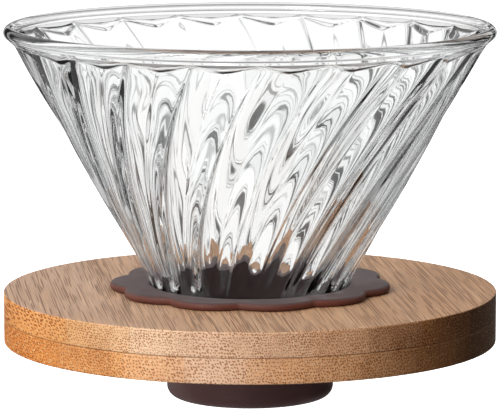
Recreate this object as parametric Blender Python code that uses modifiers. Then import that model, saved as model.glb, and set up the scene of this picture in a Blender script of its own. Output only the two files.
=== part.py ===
# Pour-over coffee dripper.
#
# A pleated glass cone stands in a soft collar.  The collar's scalloped flange
# lies on a round two-ply bamboo base, its conical seat and neck go down
# through the hole in the wood, and a boss ring is pushed on the neck from
# below.  The boss drops into the mouth of a mug or server.
#
# Frame: +Z up along the axis of the cone, origin at the centre of the boss's
# bottom face.  Metres.

import math

import bmesh
import bpy
from mathutils import Vector

MM = 0.001
GAP = 0.3 * MM                      # between neighbouring pieces

# ---------------------------------------------------------------- dimensions
# Bamboo base
BASE_R = 60.0 * MM
BASE_T = 12.3 * MM
BASE_CHAMFER = 0.35 * MM
PLY_GAP = 0.1 * MM                  # the glue line between the two plies
BASE_STEPS = 96

# Boss ring
BOSS_H = 14.0 * MM                  # how far the boss stands below the base
BOSS_R = 20.35 * MM
BOSS_EDGE_R = 2.6 * MM              # rounded lower edge
BOSS_EDGE_SEGMENTS = 5
BOSS_CHAMFER = 0.3 * MM             # upper outer edge
BOSS_BORE_R = 18.5 * MM
BOSS_FLOOR_T = 2.2 * MM
DRIP_HOLE_R = 12.0 * MM
BOSS_STEPS = 64

# Shallow recess under the base that the ring's top sits in
RECESS_R = BOSS_R + 0.5 * MM
RECESS_D = 0.6 * MM

# Heights that follow from the base and the boss
BASE_BOTTOM_Z = BOSS_H
BASE_MID_Z = BASE_BOTTOM_Z + BASE_T / 2
BASE_TOP_Z = BASE_BOTTOM_Z + BASE_T
RECESS_Z = BASE_BOTTOM_Z + RECESS_D
RING_TOP_Z = RECESS_Z - GAP

# Glass cone: its ridges lie on a straight cone, given by one radius and a slope
GLASS_REF_Z = 28.5 * MM
GLASS_REF_R = 24.5 * MM
GLASS_SLOPE = 0.5626                # radius gained per unit of height
GLASS_WALL = 2.2 * MM
GLASS_TIP_Z = 6.5 * MM              # open outlet end
GLASS_RING_CUTS = 15

# Rolled bead at the rim, and the plain band under it
RIM_Z = 89.4 * MM                   # centre of the bead
RIM_R = 58.05 * MM
RIM_BEAD_R = 1.55 * MM
RIM_BEAD_SEGMENTS = 10
GLASS_TOP_Z = RIM_Z - 0.2 * MM      # the wall ends inside the bead
BAND_Z = 87.4 * MM                  # lower edge of the band
BAND_STEP = 0.5 * MM                # the band stands this far proud of the ridges

# Pleats
PLEATS = 22
SEGMENTS_PER_PLEAT = 4
GLASS_SEGMENTS = PLEATS * SEGMENTS_PER_PLEAT
PLEAT_DEPTH = 1.50 * MM             # at the rim, shrinks with the cone's radius
PLEAT_END_H = 1.9 * MM              # height of the scooped upper ends
PLEAT_FADE_LOW_Z = 29.5 * MM        # plain below this height
PLEAT_FADE_HIGH_Z = 36.5 * MM       # full depth above this height
PLEAT_TWIST = math.radians(550.0)   # spiral, per metre of height
PLEAT_PHASE = math.radians(-87.31)  # a ridge at the band, from +X

# Soft collar: flange
FLANGE_T = 1.6 * MM
FLANGE_BOTTOM_Z = BASE_TOP_Z + GAP
FLANGE_TOP_Z = FLANGE_BOTTOM_Z + FLANGE_T
LOBES = 10
LOBE_CENTRE_DIST = 21.8 * MM        # from the axis to the centre of a lobe's arc
LOBE_R = 12.4 * MM
LOBE_SEGMENTS = 6
NOTCH_R = 1.5 * MM                  # fillet between two lobes
NOTCH_SEGMENTS = 3
NOTCH_PHASE = math.radians(-59.0)   # a notch, from +X

# Soft collar: seat and neck
SLEEVE_T = 1.6 * MM
SLEEVE_STEPS = 80
SHOULDER_H = 0.6 * MM               # slope from the seat in to the neck
NECK_R = BOSS_BORE_R - GAP
NECK_BOTTOM_Z = BOSS_FLOOR_T + GAP
NECK_CHAMFER = 0.5 * MM
SEAT_OVERCUT = 2 * MM               # the cutter runs this far past the collar

# Angles above which an edge is shaded sharp, degrees
COLLAR_SHARP_ANGLE = 35
GLASS_SHARP_ANGLE = 40

MERGE_DIST = 0.01 * MM              # closes the seam of a turned piece
OUTLINE_MERGE_DIST = 0.005 * MM     # joins the flange's faces to its edge


def glass_r(z):
    """Outer radius of the glass at height z, on the ridges."""
    return GLASS_REF_R + (z - GLASS_REF_Z) * GLASS_SLOPE


def seat_r(z):
    """Inner radius of the collar."""
    return glass_r(z) + GAP


def sleeve_r(z):
    """Outer radius of the collar's conical seat."""
    return seat_r(z) + SLEEVE_T


def hole_r(z):
    """Radius of the hole through the base."""
    return sleeve_r(z) + GAP


# ---------------------------------------------------------------- helpers
def new_collection(name):
    collection = bpy.data.collections.new(name)
    bpy.context.scene.collection.children.link(collection)
    return collection


def material(name, color, roughness, transmission=0.0, ior=1.45):
    mat = bpy.data.materials.new(name)
    mat.use_nodes = True
    inputs = mat.node_tree.nodes["Principled BSDF"].inputs
    inputs["Base Color"].default_value = (*color, 1.0)
    inputs["Roughness"].default_value = roughness
    inputs["Transmission Weight"].default_value = transmission
    inputs["IOR"].default_value = ior
    return mat


def joint(name, z, parent=None):
    """Empty on the axis that a moving piece hangs on; z is in the parent's frame."""
    empty = bpy.data.objects.new(name, None)
    empty.empty_display_size = 0.02
    empty.location = (0.0, 0.0, z)
    empty.parent = parent
    model.objects.link(empty)
    return empty


def hang(obj, empty, empty_z, origin_z=0.0):
    """Parent obj to a joint at height empty_z, with its origin at height origin_z."""
    obj.parent = empty
    obj.location = (0.0, 0.0, origin_z - empty_z)


def make_helper(obj):
    obj.hide_render = True
    obj.display_type = 'WIRE'


def mesh_piece(name, mesh, mat, sharp_angle):
    obj = bpy.data.objects.new(name, mesh)
    model.objects.link(obj)
    mesh.materials.append(mat)
    mesh.shade_smooth()
    mesh.set_sharp_from_angle(angle=math.radians(sharp_angle))
    return obj


def turned(name, profile, steps, collection, mat=None, closed=True):
    """Solid of revolution from (r, z) points; an open profile ends on the axis."""
    count = len(profile)
    edges = [(i, i + 1) for i in range(count - 1)]
    if closed:
        edges.append((count - 1, 0))
    mesh = bpy.data.meshes.new(name)
    mesh.from_pydata([(r, 0.0, z) for r, z in profile], edges, [])
    if mat is not None:
        mesh.materials.append(mat)
    obj = bpy.data.objects.new(name, mesh)
    collection.objects.link(obj)
    screw = obj.modifiers.new("turn", 'SCREW')
    screw.axis = 'Z'
    screw.angle = 2 * math.pi
    screw.steps = steps
    screw.render_steps = steps
    screw.use_merge_vertices = True
    screw.merge_threshold = MERGE_DIST
    screw.use_smooth_shade = True
    return obj


def turned_helper(name, profile, steps):
    obj = turned(name, profile, steps, helpers, closed=False)
    make_helper(obj)
    return obj


def boolean(obj, other, operation):
    modifier = obj.modifiers.new(operation.lower(), 'BOOLEAN')
    modifier.operation = operation
    modifier.solver = 'EXACT'
    modifier.object = other


def arc(centre_x, centre_y, radius, start, sweep, segments):
    """Points of an arc, both ends included; angles in radians."""
    angles = [start + sweep * i / segments for i in range(segments + 1)]
    return [(centre_x + radius * math.cos(a), centre_y + radius * math.sin(a))
            for a in angles]


def smoothstep(low, high, x):
    t = max(0.0, min(1.0, (x - low) / (high - low)))
    return t * t * (3 - 2 * t)


# ---------------------------------------------------------------- bamboo base
def build_upper_ply(mat):
    bottom = BASE_MID_Z + PLY_GAP / 2
    top = BASE_TOP_Z
    profile = [
        (hole_r(top), top),
        (BASE_R - BASE_CHAMFER, top),
        (BASE_R, top - BASE_CHAMFER),
        (BASE_R, bottom),
        (hole_r(bottom), bottom),
    ]
    turned("bamboo_upper_ply", profile, BASE_STEPS, model, mat)


def build_lower_ply(mat):
    bottom = BASE_BOTTOM_Z
    top = BASE_MID_Z - PLY_GAP / 2
    profile = [
        (hole_r(top), top),
        (BASE_R, top),
        (BASE_R, bottom + BASE_CHAMFER),
        (BASE_R - BASE_CHAMFER, bottom),
        (RECESS_R, bottom),
        (RECESS_R, RECESS_Z),
        (hole_r(RECESS_Z), RECESS_Z),
    ]
    turned("bamboo_lower_ply", profile, BASE_STEPS, model, mat)


# ---------------------------------------------------------------- boss ring
def build_boss_ring(mat, axis):
    profile = [
        (BOSS_BORE_R, RING_TOP_Z),
        (BOSS_R - BOSS_CHAMFER, RING_TOP_Z),
        (BOSS_R, RING_TOP_Z - BOSS_CHAMFER),
        *arc(BOSS_R - BOSS_EDGE_R, BOSS_EDGE_R, BOSS_EDGE_R,
             start=0.0, sweep=-math.pi / 2, segments=BOSS_EDGE_SEGMENTS),
        (DRIP_HOLE_R, 0.0),
        (DRIP_HOLE_R, BOSS_FLOOR_T),
        (BOSS_BORE_R, BOSS_FLOOR_T),
    ]
    ring = turned("boss_ring", profile, BOSS_STEPS, model, mat)
    hang(ring, axis, BASE_BOTTOM_Z)


# ---------------------------------------------------------------- soft collar
def scallop_outline():
    """Outline of the flange: arcs that bulge outwards, joined by rounded notches."""
    half = math.pi / LOBES
    cos_half, sin_half = math.cos(half), math.sin(half)

    # The fillet's centre is on the ray of the notch, LOBE_R + NOTCH_R from the
    # centre of the lobe's arc.
    fillet_dist = LOBE_CENTRE_DIST * cos_half + math.sqrt(
        (LOBE_R + NOTCH_R) ** 2 - (LOBE_CENTRE_DIST * sin_half) ** 2)
    fillet_x, fillet_y = fillet_dist * cos_half, fillet_dist * sin_half
    # direction from the lobe's centre to the point where the two arcs touch
    tangent = math.atan2(fillet_y, fillet_x - LOBE_CENTRE_DIST)

    # one lobe, centred on +X, and the notch after it; the fillet's own end
    # points are left out because the lobes already have them
    lobe = arc(LOBE_CENTRE_DIST, 0.0, LOBE_R,
               start=-tangent, sweep=2 * tangent, segments=LOBE_SEGMENTS)
    lobe += arc(fillet_x, fillet_y, NOTCH_R, start=tangent - math.pi,
                sweep=2 * (half - tangent), segments=NOTCH_SEGMENTS)[1:-1]

    outline = []
    for k in range(LOBES):
        turn = NOTCH_PHASE + (2 * k + 1) * half
        cos_turn, sin_turn = math.cos(turn), math.sin(turn)
        outline += [(x * cos_turn - y * sin_turn, x * sin_turn + y * cos_turn)
                    for x, y in lobe]
    return outline


def flange_mesh():
    """Fill and extrude the outline as a curve, then turn it into a mesh."""
    curve = bpy.data.curves.new("flange_outline", 'CURVE')
    curve.dimensions = '2D'
    curve.fill_mode = 'BOTH'
    curve.extrude = FLANGE_T / 2
    outline = scallop_outline()
    spline = curve.splines.new('POLY')
    spline.points.add(len(outline) - 1)
    for point, (x, y) in zip(spline.points, outline):
        point.co = (x, y, 0.0, 1.0)
    spline.use_cyclic_u = True

    curve_obj = bpy.data.objects.new("flange_curve", curve)
    bpy.context.scene.collection.objects.link(curve_obj)
    bpy.context.view_layer.update()
    depsgraph = bpy.context.evaluated_depsgraph_get()
    mesh = bpy.data.meshes.new_from_object(curve_obj.evaluated_get(depsgraph))
    mesh.name = "silicone_collar"
    mesh.materials.clear()
    bpy.data.objects.remove(curve_obj, do_unlink=True)

    bm = bmesh.new()
    bm.from_mesh(mesh)
    bmesh.ops.remove_doubles(bm, verts=bm.verts, dist=OUTLINE_MERGE_DIST)
    middle = Vector((0.0, 0.0, (FLANGE_BOTTOM_Z + FLANGE_TOP_Z) / 2))
    bmesh.ops.translate(bm, vec=middle, verts=bm.verts)
    bmesh.ops.recalc_face_normals(bm, faces=bm.faces)
    bm.to_mesh(mesh)
    bm.free()
    return mesh


def build_collar(mat, axis):
    collar = mesh_piece("silicone_collar", flange_mesh(), mat, COLLAR_SHARP_ANGLE)

    # seat and neck, solid; the top is halfway up the flange so the two overlap
    top = FLANGE_BOTTOM_Z + FLANGE_T / 2
    sleeve = turned_helper("sleeve_solid", [
        (0.0, top),
        (sleeve_r(FLANGE_BOTTOM_Z), top),
        (sleeve_r(FLANGE_BOTTOM_Z), FLANGE_BOTTOM_Z),
        (sleeve_r(BASE_TOP_Z), BASE_TOP_Z),
        (sleeve_r(RECESS_Z), RECESS_Z),
        (NECK_R, RECESS_Z - SHOULDER_H),
        (NECK_R, NECK_BOTTOM_Z + NECK_CHAMFER),
        (NECK_R - NECK_CHAMFER, NECK_BOTTOM_Z),
        (0.0, NECK_BOTTOM_Z),
    ], SLEEVE_STEPS)

    # the space the glass stands in
    top = FLANGE_TOP_Z + SEAT_OVERCUT
    bottom = NECK_BOTTOM_Z - SEAT_OVERCUT
    seat = turned_helper("seat_space", [
        (0.0, top),
        (seat_r(top), top),
        (seat_r(bottom), bottom),
        (0.0, bottom),
    ], GLASS_SEGMENTS)

    boolean(collar, sleeve, 'UNION')
    boolean(collar, seat, 'DIFFERENCE')
    for obj in (collar, sleeve, seat):
        hang(obj, axis, BASE_TOP_Z)


# ---------------------------------------------------------------- glass cone
def pleated_point(angle, z):
    """Point of the outer surface; angle is measured before the pleats' twist."""
    r = glass_r(z)
    if z >= BAND_Z - 1e-6:
        r += BAND_STEP
    else:
        depth = PLEAT_DEPTH * (r / glass_r(RIM_Z))
        depth *= smoothstep(PLEAT_FADE_LOW_Z, PLEAT_FADE_HIGH_Z, z)
        across = (angle * PLEATS / (2 * math.pi)) % 1.0     # 0 to 1, ridge to ridge
        r -= depth * math.sin(math.pi * across)
    angle += PLEAT_PHASE + PLEAT_TWIST * (z - BAND_Z)
    return Vector((r * math.cos(angle), r * math.sin(angle), z))


def glass_mesh():
    """Outer surface of the glass: a plain cone cut into rings, then pleated."""
    bm = bmesh.new()
    bmesh.ops.create_cone(bm, cap_ends=False, segments=GLASS_SEGMENTS,
                          radius1=glass_r(GLASS_TIP_Z), radius2=glass_r(GLASS_TOP_Z),
                          depth=GLASS_TOP_Z - GLASS_TIP_Z)
    slanted = [e for e in bm.edges if abs(e.verts[0].co.z - e.verts[1].co.z) > 1e-6]
    bmesh.ops.subdivide_edges(bm, edges=slanted, cuts=GLASS_RING_CUTS, use_grid_fill=True)

    # The pleated rings are evenly spaced from the tip to the foot of the scooped
    # ends; the last two rings are the plain band's edges.
    levels = sorted({round(v.co.z, 7) for v in bm.verts})
    pleated = len(levels) - 2
    step = (BAND_Z - PLEAT_END_H - GLASS_TIP_Z) / (pleated - 1)
    heights = [GLASS_TIP_Z + step * i for i in range(pleated)] + [BAND_Z, GLASS_TOP_Z]
    height_of = dict(zip(levels, heights))
    for vert in bm.verts:
        angle = math.atan2(vert.co.y, vert.co.x)
        vert.co = pleated_point(angle, height_of[round(vert.co.z, 7)])
    bmesh.ops.recalc_face_normals(bm, faces=bm.faces)

    mesh = bpy.data.meshes.new("glass_cone")
    bm.to_mesh(mesh)
    bm.free()
    return mesh


def build_rim_bead():
    bpy.ops.mesh.primitive_torus_add(
        major_segments=GLASS_SEGMENTS, minor_segments=RIM_BEAD_SEGMENTS,
        major_radius=RIM_R, minor_radius=RIM_BEAD_R)
    bead = bpy.context.active_object
    bead.name = "rim_bead"
    for collection in list(bead.users_collection):
        collection.objects.unlink(bead)
    helpers.objects.link(bead)
    make_helper(bead)
    return bead


def build_glass(mat, axis):
    glass = mesh_piece("glass_cone", glass_mesh(), mat, GLASS_SHARP_ANGLE)
    wall = glass.modifiers.new("wall", 'SOLIDIFY')
    wall.thickness = GLASS_WALL
    wall.offset = -1.0
    wall.use_even_offset = True
    wall.use_rim = True
    bead = build_rim_bead()
    boolean(glass, bead, 'UNION')
    hang(glass, axis, GLASS_REF_Z)
    hang(bead, axis, GLASS_REF_Z, origin_z=RIM_Z)


# ---------------------------------------------------------------- assembly
for old in list(bpy.data.objects):
    bpy.data.objects.remove(old, do_unlink=True)

model = new_collection("pour_over_dripper")
helpers = new_collection("cutters")

clear_glass = material("clear_glass", color=(0.97, 0.98, 0.98), roughness=0.02,
                       transmission=1.0, ior=1.47)
bamboo = material("bamboo", color=(0.56, 0.34, 0.16), roughness=0.55)
bamboo_lower = material("bamboo_lower", color=(0.52, 0.31, 0.14), roughness=0.55)
silicone = material("brown_silicone", color=(0.065, 0.036, 0.034), roughness=0.55)
boss_brown = material("brown_boss", color=(0.045, 0.024, 0.024), roughness=0.45)

# each moving piece slides along its own joint; the glass rides on the collar
collar_axis = joint("collar_axis", BASE_TOP_Z)
glass_axis = joint("glass_axis", GLASS_REF_Z - BASE_TOP_Z, parent=collar_axis)
ring_axis = joint("ring_axis", BASE_BOTTOM_Z)

build_upper_ply(bamboo)
build_lower_ply(bamboo_lower)
build_boss_ring(boss_brown, ring_axis)
build_collar(silicone, collar_axis)
build_glass(clear_glass, glass_axis)
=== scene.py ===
# A pour-over dripper: a cone of fine pleated glass in a scalloped silicone collar,
# on a round base of two bamboo plies with a silicone boss ring beneath.
# It stands upright on the Z axis; the camera looks along +Y from the front (-Y).
import bpy, bmesh, math
import numpy as np
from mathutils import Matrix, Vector


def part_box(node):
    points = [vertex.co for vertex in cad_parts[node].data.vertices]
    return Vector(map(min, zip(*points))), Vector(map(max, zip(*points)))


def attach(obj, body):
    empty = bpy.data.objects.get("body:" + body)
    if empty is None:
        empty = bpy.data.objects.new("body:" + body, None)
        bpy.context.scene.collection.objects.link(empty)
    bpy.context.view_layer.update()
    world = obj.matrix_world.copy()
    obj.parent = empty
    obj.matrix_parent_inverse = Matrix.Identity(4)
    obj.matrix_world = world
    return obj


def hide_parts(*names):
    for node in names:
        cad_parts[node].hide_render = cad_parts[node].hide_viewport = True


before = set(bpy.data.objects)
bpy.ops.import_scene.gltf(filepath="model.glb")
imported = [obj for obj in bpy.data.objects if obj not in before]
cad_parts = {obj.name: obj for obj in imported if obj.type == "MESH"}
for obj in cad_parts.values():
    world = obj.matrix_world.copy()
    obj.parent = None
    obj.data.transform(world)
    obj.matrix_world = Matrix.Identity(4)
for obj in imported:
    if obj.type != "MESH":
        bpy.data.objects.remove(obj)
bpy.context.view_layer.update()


def corners(piece):
    return [np.array(corner, float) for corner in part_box(piece)]


MM = 0.001

# ------------------------------------------------------------ shared dimensions
upper_lo, upper_hi = corners("bamboo_upper_ply")
lower_lo, lower_hi = corners("bamboo_lower_ply")
boss_lo, boss_hi = corners("boss_ring")
BASE_R = (upper_hi[0] - upper_lo[0]) / 2
Z_TOP = upper_hi[2]                          # top face of the base
Z_UNDER = lower_lo[2]                        # underside of the base
Z_MID = (upper_lo[2] + lower_hi[2]) / 2      # joint between the plies
BOSS_R = (boss_hi[0] - boss_lo[0]) / 2
RING_TOP = boss_hi[2]
TIP_Z = corners("glass_cone")[0][2]
COLLAR_FOOT = corners("silicone_collar")[0][2]

# the cone along the outer ridges of the glass; collar and base follow it
CONE_Z = Z_TOP + 2.2 * MM
CONE_R = 24.5 * MM                           # radius at CONE_Z
CONE_SLOPE = 0.5626


def cone_r(z):
    return CONE_R + (z - CONE_Z) * CONE_SLOPE


# ------------------------------------------------------------ mesh helpers
def around(segments):
    return 2 * math.pi * np.arange(segments) / segments


def ring(angle, radius, z):
    """One closed ring of points; radius and z are numbers or one value per angle."""
    return np.stack([radius * np.cos(angle), radius * np.sin(angle), z * np.ones_like(angle)], -1)


def loft(name, rings, sharp=None):
    """Skin a list of rings into a closed tube; the last ring joins the first."""
    points = np.array(rings)
    index = np.arange(points.shape[0] * points.shape[1]).reshape(points.shape[:2])
    beside = np.roll(index, -1, axis=1)
    faces = np.stack([index, np.roll(index, -1, axis=0), np.roll(beside, -1, axis=0), beside], -1)
    mesh = bpy.data.meshes.new(name)
    mesh.vertices.add(index.size)
    mesh.vertices.foreach_set("co", points.astype(np.float32).ravel())
    mesh.loops.add(faces.size)
    mesh.loops.foreach_set("vertex_index", faces.astype(np.int32).ravel())
    mesh.polygons.add(index.size)
    mesh.polygons.foreach_set("loop_start", np.arange(0, faces.size, 4, dtype=np.int32))
    mesh.update(calc_edges=True)
    mesh.validate()
    bm = bmesh.new()
    bm.from_mesh(mesh)
    if bm.calc_volume(signed=True) < 0:
        bmesh.ops.reverse_faces(bm, faces=bm.faces)
    bm.to_mesh(mesh)
    bm.free()
    ob = bpy.data.objects.new(name, mesh)
    bpy.context.scene.collection.objects.link(ob)
    mesh.shade_smooth()
    if sharp is not None:
        mesh.set_sharp_from_angle(angle=math.radians(sharp))
    return ob


def turn(name, profile, segments, sharp=None):
    """Turn a closed profile of (radius, z) round the Z axis."""
    angle = around(segments)
    return loft(name, [ring(angle, radius, z) for radius, z in profile], sharp)


def register(ob, piece, carrier):
    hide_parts(piece)
    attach(ob, carrier)


def smoothstep(start, end, x):
    s = np.clip((x - start) / (end - start), 0.0, 1.0)
    return s * s * (3 - 2 * s)


def smooth_max(a, b, blend):
    share = np.clip(0.5 + 0.5 * (a - b) / blend, 0.0, 1.0)
    return b * (1 - share) + a * share + blend * share * (1 - share)


def smooth_min(a, b, blend):
    return -smooth_max(-a, -b, blend)


def arc(centre_r, centre_z, radius, start, end, steps):
    """Points (r, z) on an arc; angles in degrees from outwards, counted upwards."""
    return [(centre_r + radius * math.cos(a), centre_z + radius * math.sin(a))
            for a in np.radians(np.linspace(start, end, steps + 1))]


# ------------------------------------------------------------ glass cone
PLEATS = 22
PLEAT_SEGMENTS = 24
FOLD_DEPTH = 1.55 * MM         # depth of the flutes outside, at the band
RIB_HEIGHT = 1.00 * MM         # the ribs inside stand this much higher again
WALL = 2.7 * MM                # horizontal thickness
TWIST = math.radians(550.0)    # turn of the pleats per metre of height
PHASE = math.radians(-87.31)
RAMP_OUT = 1.90                # slope of the scooped ends of the flutes
RAMP_IN = 1.35                 # slope of the ends of the ribs
BAND_Z = Z_TOP + 61.1 * MM     # foot of the plain band above the pleats
RIM_Z = Z_TOP + 63.1 * MM      # centre of the bead
BAND_OUTER_R = cone_r(BAND_Z) + 0.50 * MM    # proud of the ridges
BAND_INNER_R = cone_r(BAND_Z) - WALL + 0.15 * MM
BEAD_R = 1.52 * MM             # radius of the bead's section
BEAD_CENTRE = 58.08 * MM
INNER_TOP = RIM_Z - 0.34 * MM  # where the inner side meets the bead
FLARE_OUT = 0.86               # outward slope of the band below the bead
FLARE_IN = ((BEAD_CENTRE - BEAD_R * math.cos(math.radians(13.0)) - BAND_INNER_R)
            / (INNER_TOP - BAND_Z))
PLAIN_Z = 27 * MM              # the cone is plain below this height
TIP_R = 1.2 * MM               # height of the rounded tip

# slow unevenness: waves round, radians per metre of height, millimetres, phase
WAVES = ((3, 55.0, 0.10, 0.3), (7, 130.0, 0.05, 1.7),
         (13, 240.0, 0.025, 4.1), (22, 330.0, 0.010, 2.2))


def waver(angle, z, shift, fade_start, fade_end):
    """Unevenness of pressed glass, fading out above and below the pleats."""
    total = sum(size * np.sin(count * angle + climb * z + phase + shift * (k + 1.3))
                for k, (count, climb, size, phase) in enumerate(WAVES))
    return (total * MM * smoothstep(PLAIN_Z, 34 * MM, z)
            * (1 - smoothstep(fade_start, fade_end, z)))


def pleat_section(t):
    """Fold depth and rib height, 0 to 1, at a fraction t across a pleat."""
    # crisp ridges outside at t = 0, broad hollows between them
    soft = 0.06
    arch = (np.sqrt(np.sin(math.pi * t) ** 2 + soft ** 2) - soft) / (math.sqrt(1 + soft ** 2) - soft)
    tent = 1.0 - np.abs(2 * t - 1.0)
    tent = smooth_min(tent, 0.98, 0.10)
    tent = smooth_max(tent, 0.02, 0.08)
    tent = (tent - tent.min()) / (tent.max() - tent.min())
    # the wall is thicker along the ribs, near mid hollow
    rib = 0.5 - 0.5 * np.cos(2 * math.pi * (t - 0.05))
    return 0.55 * arch + 0.45 * tent, rib


def glass():
    even = np.arange(PLEATS * PLEAT_SEGMENTS) / PLEAT_SEGMENTS
    # closer together at the ridges and mid hollows
    place = even - 0.72 * np.sin(4 * math.pi * even) / (4 * math.pi)
    fold, rib = pleat_section(place % 1.0)

    def angle(z):
        return 2 * math.pi * place / PLEATS + PHASE + TWIST * (z - BAND_Z)

    def depth(z):
        return (cone_r(z) / (57.0 * MM)) ** 0.8 * smoothstep(PLAIN_Z, 31.5 * MM, z)

    def outer(z):
        if z >= BAND_Z:
            return BAND_OUTER_R + (z - BAND_Z) * FLARE_OUT
        pleat = cone_r(z) - FOLD_DEPTH * depth(z) * fold
        return smooth_max(pleat, BAND_OUTER_R - (BAND_Z - z) * RAMP_OUT, 0.80 * MM)

    def inner(z):
        if z >= BAND_Z:
            return BAND_INNER_R + (z - BAND_Z) * FLARE_IN
        wall = WALL * (1.0 - 0.12 * smoothstep(70 * MM, 20 * MM, z))
        grow = 0.55 + 0.45 * smoothstep(0.0, 14 * MM, BAND_Z - z)  # ribs rise below the band
        pleat = cone_r(z) - wall - (FOLD_DEPTH * fold + RIB_HEIGHT * rib) * depth(z) * grow
        return smooth_max(pleat, BAND_INNER_R - (BAND_Z - z) * RAMP_IN, 0.08 * MM)

    # heights: fine near the scooped ends, coarser below
    scoop_z = BAND_Z - 4.2 * MM
    tip_top = TIP_Z + TIP_R
    heights = np.concatenate([
        np.linspace(BAND_Z, scoop_z, 38),
        np.linspace(scoop_z, PLAIN_Z, 66)[1:],
        np.linspace(PLAIN_Z, tip_top, 9)[1:]])
    outer_top = RIM_Z - 1.25 * MM
    outer_z = np.concatenate([np.linspace(outer_top, BAND_Z + 0.10 * MM, 5), heights])
    inner_z = np.concatenate([np.linspace(INNER_TOP - 0.12 * MM, BAND_Z + 0.12 * MM, 7), heights])
    rings = [ring(angle(z), outer(z) + waver(angle(z), z, 0.0, 84 * MM, 87 * MM), z)
             for z in outer_z]
    # rounded tip
    middle = (outer(tip_top) + inner(tip_top)) / 2
    half_wall = (outer(tip_top) - inner(tip_top)) / 2
    for a in np.radians(np.linspace(0, -180, 9))[1:-1]:
        rings.append(ring(angle(tip_top), middle + half_wall * math.cos(a),
                          tip_top + TIP_R * math.sin(a)))
    rings += [ring(angle(z), inner(z) + waver(angle(z), z, 2.9, 83 * MM, 86.5 * MM), z)
              for z in inner_z[::-1]]
    # rolled bead, from the inner side over the top to the outer side
    rings += [ring(angle(outer_top), r, z) for r, z in arc(BEAD_CENTRE, RIM_Z, BEAD_R, 191, -42, 20)]
    return loft("glass_cone_fine", rings)


glass_ob = glass()
register(glass_ob, "glass_cone", "glass")

# ------------------------------------------------------------ silicone collar
LOBES = 10
LOBE_PHASE = math.radians(-59.0)
LOBE_CENTRE = 21.8 * MM        # distance of each lobe's centre from the axis
LOBE_R = 12.5 * MM
FLANGE_UNDER = Z_TOP + 0.06 * MM
FLANGE_TOP = Z_TOP + 1.95 * MM
FLANGE_ROUND = 0.8 * MM        # radial depth of the rounded edge
LIP_Z = Z_TOP + 1.35 * MM      # lip of the seat under the glass
BORE_GAP = 0.3 * MM            # from the cone to the bore
SLEEVE = BORE_GAP + 1.6 * MM   # from the cone to the outside of the sleeve
NECK_R = 18.2 * MM
FOOT_ROUND = 0.5 * MM


def scallop(angle):
    """Radius of the scalloped edge of the flange."""
    pitch = 2 * math.pi / LOBES
    # the soft flange has settled a little unevenly round its centre
    off = (angle + math.radians(4.8) * np.cos(angle) - LOBE_PHASE) % pitch - pitch / 2

    def lobe(a):
        return LOBE_CENTRE * np.cos(a) + np.sqrt(
            np.maximum(LOBE_R ** 2 - (LOBE_CENTRE * np.sin(a)) ** 2, 1e-9))
    return smooth_max(lobe(off), np.maximum(lobe(off - pitch), lobe(off + pitch)), 1.5 * MM)


def collar():
    segments = 480
    angle = around(segments)
    # the moulding is a little uneven
    edge = scallop(angle) + 0.10 * MM * np.sin(3 * angle + 0.7) + 0.06 * MM * np.sin(7 * angle + 2.0)
    lift = 0.05 * MM * np.sin(2 * angle + 0.4) + 0.04 * MM * np.sin(5 * angle + 1.1)
    edge_in = edge - FLANGE_ROUND

    # from the seat's lip outwards over the top of the flange
    lip_r = cone_r(LIP_Z) + 0.12 * MM
    rise_r, rise_z = lip_r + 0.3 * MM, LIP_Z + 0.18 * MM
    profile = [(lip_r, LIP_Z), (lip_r + 0.10 * MM, LIP_Z + 0.12 * MM), (lip_r + 0.28 * MM, rise_z)]
    for s in np.linspace(0.06, 1.0, 16):
        z = rise_z + (FLANGE_TOP - rise_z) * smoothstep(0.0, 0.45, s)
        profile.append((rise_r + (edge_in - rise_r) * s, z + lift * smoothstep(0.3, 1.0, s)))
    # rounded edge
    half = (FLANGE_TOP - FLANGE_UNDER) / 2
    middle = (FLANGE_TOP + FLANGE_UNDER) / 2
    for a in np.radians(np.linspace(80, -80, 11)):
        profile.append((edge_in + FLANGE_ROUND * math.cos(a),
                        middle + lift * (math.sin(a) * 0.5 + 0.5) + half * math.sin(a)))
    # underside to the sleeve
    sleeve_r = cone_r(FLANGE_UNDER) + SLEEVE + 0.3 * MM
    for s in np.linspace(0.0, 1.0, 5):
        profile.append((edge_in * (1 - s) + sleeve_r * s, FLANGE_UNDER))
    profile.append((cone_r(FLANGE_UNDER - 0.3 * MM) + SLEEVE, FLANGE_UNDER - 0.35 * MM))
    sleeve_z = [*np.linspace(Z_TOP - 0.6 * MM, RING_TOP + 0.7 * MM, 8), RING_TOP + 0.35 * MM]
    profile += [(cone_r(z) + SLEEVE, z) for z in sleeve_z]
    # neck down to the rounded foot
    profile += [(NECK_R + 0.1 * MM, RING_TOP + 0.2 * MM), (NECK_R, RING_TOP - 0.2 * MM)]
    profile += [(NECK_R, z) for z in np.linspace(Z_UNDER - 2 * MM, COLLAR_FOOT + 0.6 * MM, 5)]
    foot_z = COLLAR_FOOT + FOOT_ROUND
    profile += arc(NECK_R - FOOT_ROUND, foot_z, FOOT_ROUND, 0, -90, 4)
    profile += arc(cone_r(COLLAR_FOOT) + BORE_GAP + 0.6 * MM, foot_z, FOOT_ROUND, 270, 180, 4)
    # the bore back up to the lip, closing on the glass
    for z in np.linspace(COLLAR_FOOT + 1.2 * MM, LIP_Z - 0.3 * MM, 20):
        profile.append((cone_r(z) + BORE_GAP - 0.18 * MM * smoothstep(20 * MM, 26 * MM, z), z))
    return turn("silicone_collar_fine", profile, segments)


collar_ob = collar()
register(collar_ob, "silicone_collar", "collar")

# ------------------------------------------------------------ boss ring
BOSS_BORE = 18.5 * MM
BOSS_EYE = 12.0 * MM           # radius of the opening in the floor of the ring
BOSS_FLOOR = 2.2 * MM          # height of the floor's upper face
BOSS_ROUND = 2.7 * MM          # rounding of the outer lower corner


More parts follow.
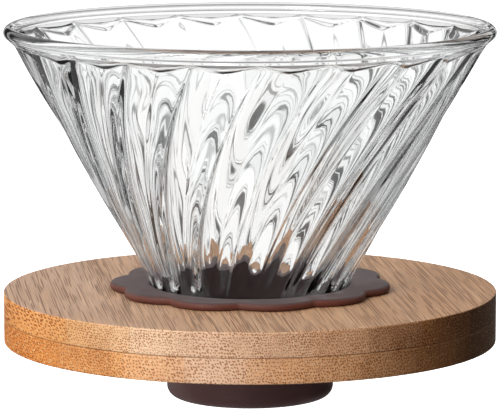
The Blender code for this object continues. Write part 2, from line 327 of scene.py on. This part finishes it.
def boss_ring():
    top_round = 0.4 * MM
    profile = [(BOSS_BORE, RING_TOP - 0.3 * MM), (BOSS_BORE + 0.1 * MM, RING_TOP - 0.1 * MM),
               (BOSS_BORE + 0.3 * MM, RING_TOP), (BOSS_R - 0.5 * MM, RING_TOP)]
    profile += arc(BOSS_R - top_round, RING_TOP - top_round, top_round, 75, 0, 4)
    profile += [(BOSS_R, z) for z in np.linspace(RING_TOP - 1.2 * MM, 4.2 * MM, 8)]
    profile += arc(BOSS_R - BOSS_ROUND, BOSS_ROUND, BOSS_ROUND, 12, -90, 14)
    # underside, then the edge of the opening
    profile += [(16.0 * MM, 0.0), (14.6 * MM, 0.02 * MM), (13.2 * MM, 0.08 * MM)]
    profile += arc(BOSS_EYE + 0.5 * MM, 0.6 * MM, 0.5 * MM, 270, 180, 5)
    profile += [(BOSS_EYE, 1.1 * MM), (BOSS_EYE, 1.7 * MM)]
    profile += arc(BOSS_EYE + 0.4 * MM, BOSS_FLOOR - 0.4 * MM, 0.4 * MM, 180, 90, 4)
    # floor and bore
    profile += [(14.5 * MM, BOSS_FLOOR), (17.6 * MM, BOSS_FLOOR), (18.3 * MM, 2.35 * MM),
                (BOSS_BORE, 3.0 * MM), (BOSS_BORE, 7.0 * MM), (BOSS_BORE, 11.0 * MM)]
    return turn("boss_ring_fine", profile, 256)


boss_ob = boss_ring()
register(boss_ob, "boss_ring", "ring")

# ------------------------------------------------------------ bamboo plies
RECESS_R = BOSS_R + 0.5 * MM
RECESS_Z = RING_TOP + 0.3 * MM
SAWN_ROUND = 0.30 * MM         # rounding of the corners that show
JOINT_ROUND = 0.025 * MM       # rounding of the corners at the joint
JOINT_GAP = 0.006 * MM         # each ply stops this far from the middle of the joint


def hole_r(z):
    return cone_r(z) + 2.2 * MM


def chips(angle, seed):
    """Depth of the small chips round a sawn corner."""
    rng = np.random.default_rng(seed)
    depth = np.zeros(len(angle))
    for _ in range(46):
        centre = rng.uniform(0, 2 * math.pi)
        width = rng.uniform(0.004, 0.014)
        away = (angle - centre + math.pi) % (2 * math.pi) - math.pi
        depth += rng.uniform(0.03, 0.12) * MM * np.exp(-(away / width) ** 2)
    return depth


def ply(name, z_lo, z_hi, round_lo, round_hi, chipped_z, seed, recess=False):
    """A turned ply with small chips on the corner at chipped_z."""
    segments = 720
    top_r = hole_r(z_hi)
    profile = [(hole_r(z_hi - 0.3 * MM), z_hi - 0.3 * MM), (top_r + 0.3 * MM, z_hi)]
    for s in np.linspace(0.08, 0.96, 14):
        profile.append((top_r + (BASE_R - round_hi - top_r) * s, z_hi))
    profile += arc(BASE_R - round_hi, z_hi - round_hi, round_hi, 90, 0, 5)
    profile += [(BASE_R, z) for z in np.linspace(z_hi - round_hi, z_lo + round_lo, 10)[1:-1]]
    profile += arc(BASE_R - round_lo, z_lo + round_lo, round_lo, 0, -90, 5)
    # the lower ply has a shallow recess that the boss ring seats in
    under_r = RECESS_R if recess else hole_r(z_lo)
    for s in np.linspace(0.96, 0.08, 14):
        profile.append((under_r + (BASE_R - round_lo - under_r) * s, z_lo))
    hole_z = z_lo + 0.15 * MM
    profile += [(under_r + 0.15 * MM, z_lo), (under_r, hole_z)]
    if recess:
        hole_z = RECESS_Z
        profile += [(under_r, hole_z), (hole_r(hole_z) + 0.1 * MM, hole_z)]
    profile += [(hole_r(z), z) for z in np.linspace(hole_z + 0.1 * MM, z_hi - 0.6 * MM, 5)]
    # chip the rim within reach of the corner
    chip = chips(around(segments), seed)
    chipped = []
    for r, z in profile:
        near = max(0.0, 1.0 - abs(z - chipped_z) / (0.5 * MM)) if r > BASE_R - 1.0 * MM else 0.0
        chipped.append((r - chip * near, z))
    return turn(name, chipped, segments, sharp=50)


upper = ply("bamboo_upper_ply_fine", Z_MID + JOINT_GAP, Z_TOP, JOINT_ROUND, SAWN_ROUND,
            chipped_z=Z_TOP, seed=1)
lower = ply("bamboo_lower_ply_fine", Z_UNDER, Z_MID - JOINT_GAP, SAWN_ROUND, JOINT_ROUND,
            chipped_z=Z_UNDER, seed=2, recess=True)
register(upper, "bamboo_upper_ply", "bamboo_base")
register(lower, "bamboo_lower_ply", "bamboo_base")


# ------------------------------------------------------------ node helpers
class Signal:
    """An output socket that can be used in arithmetic; [key] is a sister output."""

    def __init__(self, nodes, socket):
        self.nodes, self.socket = nodes, socket

    def __getitem__(self, key):
        return Signal(self.nodes, self.socket.node.outputs[key])

    def __add__(self, other):
        return self.nodes.math('ADD', self, other)

    def __sub__(self, other):
        return self.nodes.math('SUBTRACT', self, other)

    def __rsub__(self, other):
        return self.nodes.math('SUBTRACT', other, self)

    def __mul__(self, other):
        return self.nodes.math('MULTIPLY', self, other)

    def __truediv__(self, other):
        return self.nodes.math('DIVIDE', self, other)


class Nodes:
    """Writes a node tree as expressions."""

    def __init__(self, tree):
        self.tree = tree
        tree.nodes.clear()

    def place(self, kind, inputs, **settings):
        node = self.tree.nodes.new(kind)
        for key, value in settings.items():
            setattr(node, key, value)
        for key, value in inputs.items():
            if isinstance(value, Signal):
                self.tree.links.new(value.socket, node.inputs[key])
            else:
                node.inputs[key].default_value = value
        return node

    def node(self, kind, inputs={}, output=0, **settings):
        return Signal(self, self.place(kind, inputs, **settings).outputs[output])

    def math(self, operation, *values):
        return self.node("ShaderNodeMath", dict(enumerate(values)), operation=operation)

    def remap(self, value, source, to=(0.0, 1.0), smooth=True):
        return self.node("ShaderNodeMapRange", {
            "Value": value, "From Min": source[0], "From Max": source[1],
            "To Min": to[0], "To Max": to[1]}, "Result",
            interpolation_type='SMOOTHSTEP' if smooth else 'LINEAR')

    def mix(self, amount, under, over, blend='MIX'):
        return self.node("ShaderNodeMix", {"Factor": amount, 6: under, 7: over}, 2,
                         data_type='RGBA', blend_type=blend, clamp_factor=True)

    def vec(self, x, y, z):
        return self.node("ShaderNodeCombineXYZ", {0: x, 1: y, 2: z})

    def separate(self, vector):
        parts = self.node("ShaderNodeSeparateXYZ", {0: vector})
        return parts[0], parts[1], parts[2]

    def noise(self, vector, scale=1.0, detail=2.0, rough=0.5):
        return self.node("ShaderNodeTexNoise", {
            "Vector": vector, "Scale": scale, "Detail": detail, "Roughness": rough}, "Fac")

    def voronoi(self, vector, scale=1.0, randomness=1.0, dims='3D'):
        return self.node("ShaderNodeTexVoronoi", {
            "Vector": vector, "Scale": scale, "Randomness": randomness}, "Distance",
            voronoi_dimensions=dims)

    def white_noise(self, vector, dims):
        return self.node("ShaderNodeTexWhiteNoise", {"Vector": vector}, "Value",
                         noise_dimensions=dims)

    def ramp(self, factor, stops):
        """Colour ramp; stops are (position, linear RGBA)."""
        colour = self.node("ShaderNodeValToRGB", {0: factor})
        elements = colour.socket.node.color_ramp.elements
        while len(elements) < len(stops):
            elements.new(0.5)
        for element, (position, value) in zip(elements, stops):
            element.position = position
            element.color = value
        return colour

    def bump(self, height, strength, distance):
        return self.node("ShaderNodeBump", {
            "Strength": strength, "Distance": distance, "Height": height})

    def mix_shader(self, amount, first, second):
        return self.node("ShaderNodeMixShader", {0: amount, 1: first, 2: second})

    def normal_z(self):
        return self.separate(self.node("ShaderNodeNewGeometry", output="Normal"))[2]


def rgb(*channels):
    """sRGB 0-255 to linear."""
    def linear(c):
        c /= 255.0
        return c / 12.92 if c <= 0.04045 else ((c + 0.055) / 1.055) ** 2.4
    return (*map(linear, channels), 1.0)


def new_material(name):
    mat = bpy.data.materials.new(name)
    mat.use_nodes = True
    return mat, Nodes(mat.node_tree)


# ------------------------------------------------------------ bamboo material
GRAIN = math.radians(6.9)      # the fibres run towards -Y, drifting to +X
STRIP = 13.7 * MM              # width of a strip of the laminated board
SPAN = 60 * MM                 # the colours run this far either side of the axis

# colours across the board from -X to +X: position, then sRGB.
# EDGE is the sawn edge, FACE the flat faces. The EDGE ramps hold painted shade:
# they darken strongly towards +X, the side of the edge that lies in shade.
UPPER_EDGE_PAINTED_SHADE = ((0.0, 240, 162, 86), (0.12, 244, 188, 128), (0.24, 248, 210, 172),
              (0.36, 244, 206, 174), (0.60, 236, 184, 144), (0.80, 176, 118, 74),
              (0.92, 102, 66, 34), (1.0, 92, 57, 22))
LOWER_EDGE_PAINTED_SHADE = ((0.0, 230, 144, 64), (0.20, 238, 176, 116), (0.37, 246, 208, 178),
              (0.50, 236, 180, 134), (0.64, 232, 174, 126), (0.80, 176, 120, 76),
              (0.92, 112, 72, 36), (1.0, 98, 62, 24))
EDGE_DARK_PAINTED_SHADE = ((0.0, 150, 66, 14), (0.16, 160, 88, 38), (0.34, 170, 112, 78),
             (0.62, 150, 92, 52), (0.80, 98, 56, 26), (1.0, 58, 38, 22))
EDGE_PALE_PAINTED_SHADE = ((0.0, 255, 222, 156), (0.34, 255, 236, 208), (0.62, 255, 226, 188),
             (0.80, 232, 184, 130), (1.0, 160, 122, 84))
FACE_BASE = ((0.0, 200, 166, 142), (0.45, 204, 160, 124), (1.0, 196, 152, 116))
FACE_DARK = rgb(96, 62, 38)
FACE_PALE = rgb(228, 192, 156)
FACE_SLOW = rgb(176, 128, 84)  # slow streaks
BLOTCH = rgb(170, 120, 76)
SEAM = rgb(120, 78, 44)
GLUE = rgb(128, 78, 42)


def bamboo(name, offset, seed, edge_stops):
    mat, t = new_material(name)
    position = t.node("ShaderNodeTexCoord", output="Object")
    across, along, height = t.separate(t.node("ShaderNodeMapping", {
        "Vector": position, "Rotation": (0.0, 0.0, -GRAIN)}))
    # the fibres wander a little across the grain
    wander = t.noise(t.vec(across * 30.0, along * 12.0, height * 60.0), detail=1.0)
    fibre = across + (wander - 0.5) * (1.2 * MM)

    # strips: two random values for each, and the seams between them
    strip = t.math('FLOOR', (across + offset) / STRIP)
    tone_pick = t.white_noise(t.vec(strip, seed, 0.0), '2D')
    tint_pick = t.white_noise(t.vec(strip, seed + 17.0, 0.0), '2D')
    part = t.math('FRACT', (across + offset) / STRIP)
    seam = t.remap(t.math('MINIMUM', part, 1.0 - part), (0.0, 0.014), to=(1.0, 0.0))
    flat = t.remap(t.math('ABSOLUTE', t.normal_z()), (0.5, 0.9))     # 1 on the faces

    def by_face(edge, face):
        return t.remap(flat, (0.0, 1.0), to=(edge, face))

    def picked(pick, low, high):
        return t.remap(pick, (0.0, 1.0), to=(low, high), smooth=False)

    def grain(across, height, along_):
        """Noise coordinates, in cycles per metre each way."""
        return t.vec(fibre * across, height_signal * height, along * along_)

    height_signal = height
    # bundles: cut across they are dots, cut along they are streaks
    density = picked(tint_pick, 0.88, 1.18)
    bundle_x = (fibre * 1640.0) * density
    bundle_z = (height * 1400.0) * density
    weave_along = along * 34.0
    shift = strip * 7.31       # sets neighbouring strips apart
    weave = t.noise(t.vec(fibre * 900.0, weave_along, height * 200.0), detail=1.0)
    weave = (weave - 0.5) * by_face(edge=0.6, face=3.2)
    bundle = t.voronoi(t.vec(bundle_x + bundle_z * 0.5 + shift, bundle_z + seed * 3.3 + weave, 0.0),
                       randomness=0.62, dims='2D')
    size = t.remap(t.noise(grain(260.0, 260.0, 14.0)), (0.3, 0.7), to=(0.17, 0.33), smooth=False)
    dots = t.remap(bundle - size, (-0.09, 0.09), to=(1.0, 0.0))
    pale = t.voronoi(t.vec(fibre * 1900.0 + shift, height * 1500.0, along * 17.0))
    pale = t.remap(pale, (0.12, 0.42), to=(1.0, 0.0))
    fine = t.noise(grain(4200.0, 3600.0, 60.0), rough=0.6)
    slow = t.noise(grain(120.0, 90.0, 9.0), rough=0.55)
    blotch = t.noise(position, scale=38.0)

    # the colour runs across the board, partly in steps, strip by strip; on the edge it carries
    # painted shade towards +X
    stepped = (strip + 0.5) * STRIP - offset
    board = (across * 0.65 + stepped * 0.35 + SPAN) / (2 * SPAN)

    def board_ramp(stops):
        return t.ramp(board, [(place, rgb(*colour)) for place, *colour in stops])

    # painted shade: the edge ramps, including the dark marks, darken towards +X
    edge_dark = board_ramp(EDGE_DARK_PAINTED_SHADE)
    base = t.mix(flat, board_ramp(edge_stops), board_ramp(FACE_BASE))
    light = t.mix(flat, board_ramp(EDGE_PALE_PAINTED_SHADE), FACE_PALE)
    dark = t.mix(flat, edge_dark, FACE_DARK)
    colour = t.mix(pale * 0.62, base, light)
    fine_amount = t.remap(fine, (0.32, 0.62), to=(0.40, 0.0)) * by_face(edge=0.55, face=1.0)
    colour = t.mix(fine_amount, colour, dark)
    colour = t.mix(t.remap(slow, (0.42, 0.75), to=(0.0, 0.28)), colour,
                   t.mix(flat, edge_dark, FACE_SLOW))
    colour = t.mix(dots * by_face(edge=0.98, face=0.66), colour, dark)
    # each strip has its own tone
    tone = picked(tone_pick, 0.95, 1.04)
    tint = t.vec(tone, tone * picked(tint_pick, 0.97, 1.01), tone * picked(tint_pick, 0.93, 1.02))
    colour = t.mix(1.0, colour, tint, 'MULTIPLY')
    colour = t.mix(t.remap(blotch, (0.4, 0.75), to=(0.0, 0.12)), colour, BLOTCH)
    colour = t.mix(seam * by_face(edge=0.10, face=0.28), colour, SEAM)
    # the glue line between the plies, uneven in width
    from_joint = t.math('ABSOLUTE', height - Z_MID)
    uneven = t.noise(t.vec(across * 220.0, along * 220.0, 0.0))
    glue = t.remap(from_joint, (0.05 * MM, uneven * (0.45 * MM)), to=(1.0, 0.0))
    colour = t.mix(glue * 0.45, colour, GLUE)
    # pores and fibres as a fine relief
    relief = fine * 0.5 - dots * 0.9 - glue * 1.5
    t.place("ShaderNodeOutputMaterial", {0: t.node("ShaderNodeBsdfPrincipled", {
        "Base Color": colour,
        "Roughness": t.remap(fine, (0.3, 0.7), to=(0.46, 0.60)) + dots * 0.08,
        "IOR": 1.45,
        "Specular IOR Level": by_face(edge=0.16, face=0.42),
        "Normal": t.bump(relief, strength=0.55, distance=0.12 * MM)})})
    return mat


upper.data.materials.append(bamboo("bamboo_upper", 20.3 * MM, 3.0, UPPER_EDGE_PAINTED_SHADE))
lower.data.materials.append(bamboo("bamboo_lower", 21.9 * MM, 8.0, LOWER_EDGE_PAINTED_SHADE))


# ------------------------------------------------------------ silicone
def silicone(name, top, side, rough, specular):
    mat, t = new_material(name)
    position = t.node("ShaderNodeTexCoord", output="Object")
    flat = t.remap(t.normal_z(), (0.35, 0.95))
    mottle = t.noise(position, scale=60.0, detail=3.0, rough=0.55)
    grain = t.noise(position, scale=2600.0, detail=3.0, rough=0.6)
    # a few of the cells carry a fleck of dust
    dust = t.voronoi(position, scale=420.0)
    fleck = t.remap(dust, (0.0, 0.09), to=(1.0, 0.0))
    fleck = fleck * t.math('GREATER_THAN', t.white_noise(dust["Position"], '3D'), 0.88)
    # faces turned sideways take the side colour, faces turned up take the top colour; on the collar
    # the redder side colour is painted light, standing in for light passing through the thin
    # silicone edge
    colour = t.mix(flat, side, top)
    colour = t.mix(t.remap(mottle, (0.35, 0.7), to=(0.0, 0.22)), colour, rgb(58, 44, 42))
    colour = t.mix(t.remap(grain, (0.35, 0.7), to=(0.0, 0.12)), colour, rgb(120, 96, 90))
    colour = t.mix(fleck * 0.25, colour, rgb(170, 155, 145))
    # painted shade: the seat under the glass is darkened nearly to black, standing in for the shade
    # there, and made less glossy
    x, y, z = t.separate(position)
    from_axis = t.math('SQRT', x * x + y * y)
    seat = (t.remap(from_axis, (24.3 * MM, 25.0 * MM), to=(1.0, 0.0))
            * t.remap(z, (14.5 * MM, 15.5 * MM)))
    colour = t.mix(seat * 0.92, colour, rgb(20, 15, 15))
    t.place("ShaderNodeOutputMaterial", {0: t.node("ShaderNodeBsdfPrincipled", {
        "Base Color": colour,
        "Roughness": t.remap(mottle, (0.3, 0.7), to=(rough - 0.05, rough + 0.07)),
        "Specular IOR Level": t.remap(seat, (0.0, 1.0), to=(specular, 0.05)),
        "Subsurface Weight": 0.12,
        "Subsurface Radius": (1.0, 0.35, 0.2),
        "Subsurface Scale": 1.2 * MM,
        "Normal": t.bump(grain, strength=0.35, distance=0.03 * MM)})})
    return mat


# painted light: the collar's side colour is redder than its top, for light coming through the thin
# edge
collar_ob.data.materials.append(silicone(
    "silicone_collar_look", top=rgb(76, 60, 60), side=rgb(100, 54, 43), rough=0.52, specular=0.28))
# painted light: the boss ring's colour is much lighter than the collar's silicone, standing in for
# light bounced up onto the ring, which sits in the base's shadow
boss_ob.data.materials.append(silicone(
    "boss_ring_look", top=rgb(132, 100, 98), side=rgb(132, 98, 97), rough=0.50, specular=0.14))


# ------------------------------------------------------------ glass
def glass_look():
    mat, t = new_material("clear_glass_look")
    position = t.node("ShaderNodeTexCoord", output="Object")
    haze = t.noise(position, scale=90.0)
    ripple = t.noise(position, scale=110.0, detail=1.0, rough=0.4)
    clear, hazy = (0.985, 0.99, 0.988, 1), (0.965, 0.975, 0.97, 1)
    body = t.node("ShaderNodeBsdfPrincipled", {
        "Transmission Weight": 1.0,
        "IOR": 1.47,
        "Base Color": t.mix(t.remap(haze, (0.4, 0.8), to=(0.0, 0.35)), clear, hazy),
        "Roughness": t.remap(haze, (0.5, 0.8), to=(0.0, 0.012)),
        "Normal": t.bump(ripple, strength=0.12, distance=0.08 * MM)})
    # lamps reach the wood through the glass
    shadow_ray = t.node("ShaderNodeLightPath", output="Is Shadow Ray")
    see_through = t.node("ShaderNodeBsdfTransparent", {"Color": (0.84, 0.85, 0.85, 1)})
    t.place("ShaderNodeOutputMaterial", {0: t.mix_shader(shadow_ray, body, see_through)})
    return mat


glass_ob.data.materials.append(glass_look())


# ------------------------------------------------------------ floor
def stage_floor():
    # low enough for the boss ring to be pulled down clear of it
    bpy.ops.mesh.primitive_plane_add(size=8.0, location=(0, 0, -21.5 * MM))
    floor = bpy.context.active_object
    floor.name = "stage_floor"
    mat, t = new_material("stage_floor_look")
    matt = t.node("ShaderNodeBsdfDiffuse", {"Color": (0.9, 0.9, 0.9, 1)})
    glow = t.node("ShaderNodeEmission", {"Color": (1, 1, 1, 1), "Strength": 1.0})
    t.place("ShaderNodeOutputMaterial", {0: t.node("ShaderNodeAddShader", {0: matt, 1: glow})})
    floor.data.materials.append(mat)
    floor.visible_transmission = False
    floor.visible_glossy = False
    floor.visible_diffuse = False


stage_floor()

# ------------------------------------------------------------ studio world
# rings round the camera's axis: degrees from straight ahead, brightness
FIELD = ((0.0, 1.2), (5.4, 1.2), (5.8, 0.72), (6.1, 0.72), (6.6, 1.2), (7.9, 1.15),
         (8.4, 0.42), (9.1, 0.38), (9.6, 1.1), (11.4, 1.1), (12.2, 0.18), (14.0, 0.12),
         (14.6, 1.0), (16.6, 1.0), (17.6, 0.15), (22.0, 0.03), (26.0, 0.03), (27.0, 0.9),
         (31.0, 0.9), (32.0, 0.1))
FIELD_SPAN = 60.0              # degrees covered by the ramp
FIELD_UNIT = 1.25              # brightness stored as 1 in the ramp
FIELD_GAIN = 1.42
FLOOR_LIGHT = 0.012            # least brightness that glass and gloss see


def studio():
    """The camera sees plain white; glass sees a bright field ahead of the camera
    with dark flags beside it; wood and silicone see a soft tent."""
    world = bpy.data.worlds.new("studio")
    bpy.context.scene.world = world
    world.use_nodes = True
    t = Nodes(world.node_tree)
    coords = t.node("ShaderNodeTexCoord")

    def lobe(vector, direction, inner, outer, low=0.0, high=1.0):
        """A soft patch of light: full within inner degrees, low beyond outer."""
        facing = t.node("ShaderNodeVectorMath", {0: vector, 1: Vector(direction).normalized()},
                        "Value", operation='DOT_PRODUCT')
        return t.remap(facing, (math.cos(math.radians(outer)), math.cos(math.radians(inner))),
                       to=(low, high))

    # x right, y up, z ahead of the camera
    view = t.node("ShaderNodeVectorMath", {0: coords["Camera"]}, operation='NORMALIZE')
    _, up, ahead = t.separate(view)
    uneven = t.noise(view, scale=2.2, detail=1.0)
    degrees = t.math('ARCCOSINE', ahead) * (180.0 / math.pi) + (uneven - 0.5) * 3.0
    stops = [(place / FIELD_SPAN, (*[value / FIELD_UNIT] * 3, 1.0)) for place, value in FIELD]
    seen = t.ramp(degrees / FIELD_SPAN, stops) * FIELD_GAIN
    left = lobe(view, (-1, 0.10, 0.20), inner=36, outer=44, high=1.35)
    right = lobe(view, (1, 0.15, -0.10), inner=12, outer=18, high=1.2)
    behind = lobe(view, (-0.3, 0.4, -1), inner=25, outer=60, high=0.12)
    above_below = (t.remap(t.math('ABSOLUTE', up), (0.30, 0.46), to=(0.0, 1.05))
                   * t.remap(ahead, (-0.50, -0.05), to=(0.10, 1.0)))
    for light in (left, right, behind, above_below, FLOOR_LIGHT):
        seen = t.math('MAXIMUM', seen, light)
    direction = coords["Generated"]
    tent = (lobe(direction, (-0.35, 0.1, 1.0), inner=15, outer=90, high=0.75)
            + lobe(direction, (-1.0, -0.25, 0.1), inner=10, outer=70, high=0.45) + 0.045)
    rays = t.node("ShaderNodeLightPath")
    lit = t.mix_shader(rays["Is Diffuse Ray"],
                       t.node("ShaderNodeBackground", {"Strength": seen}),
                       t.node("ShaderNodeBackground", {"Strength": tent}))
    white = t.node("ShaderNodeBackground", {"Color": (1, 1, 1, 1), "Strength": 1.0})
    t.place("ShaderNodeOutputWorld", {0: t.mix_shader(rays["Is Camera Ray"], lit, white)})


studio()


# ------------------------------------------------------------ lights
def area(name, location, target, size, power, colour=(1, 1, 1)):
    light = bpy.data.lights.new(name, 'AREA')
    light.shape = 'RECTANGLE'
    light.size, light.size_y = size
    light.energy = power
    light.color = colour
    ob = bpy.data.objects.new(name, light)
    ob.location = location
    aim = Vector(target) - Vector(location)
    ob.rotation_euler = aim.to_track_quat('-Z', 'Y').to_euler()
    bpy.context.scene.collection.objects.link(ob)
    ob.visible_transmission = False


area("key_left", location=(-0.56, -0.88, 0.62), target=(0, 0, 0.03), size=(0.45, 0.45),
     power=10.0, colour=(1.0, 0.98, 0.96))
area("top_soft", location=(-0.15, 0.15, 1.0), target=(0, 0, 0.0), size=(0.7, 0.7), power=2.0)
area("low_left", location=(-0.42, -0.90, 0.02), target=(0, 0, 0.015), size=(0.3, 0.2), power=1.6)

# ------------------------------------------------------------ camera
camera = bpy.data.cameras.new("camera")
camera.sensor_width = 36.0
camera.lens = 282.24
camera.clip_start = 0.05
camera.clip_end = 50.0
camera_ob = bpy.data.objects.new("camera", camera)
camera_ob.location = (0.0, -0.9434, Z_TOP + 0.1605)
camera_ob.rotation_euler = (math.pi / 2 - 0.1475, 0.0, 0.0)    # tilted down from level
bpy.context.scene.collection.objects.link(camera_ob)
bpy.context.scene.camera = camera_ob
bpy.context.scene.view_settings.view_transform = 'Standard'
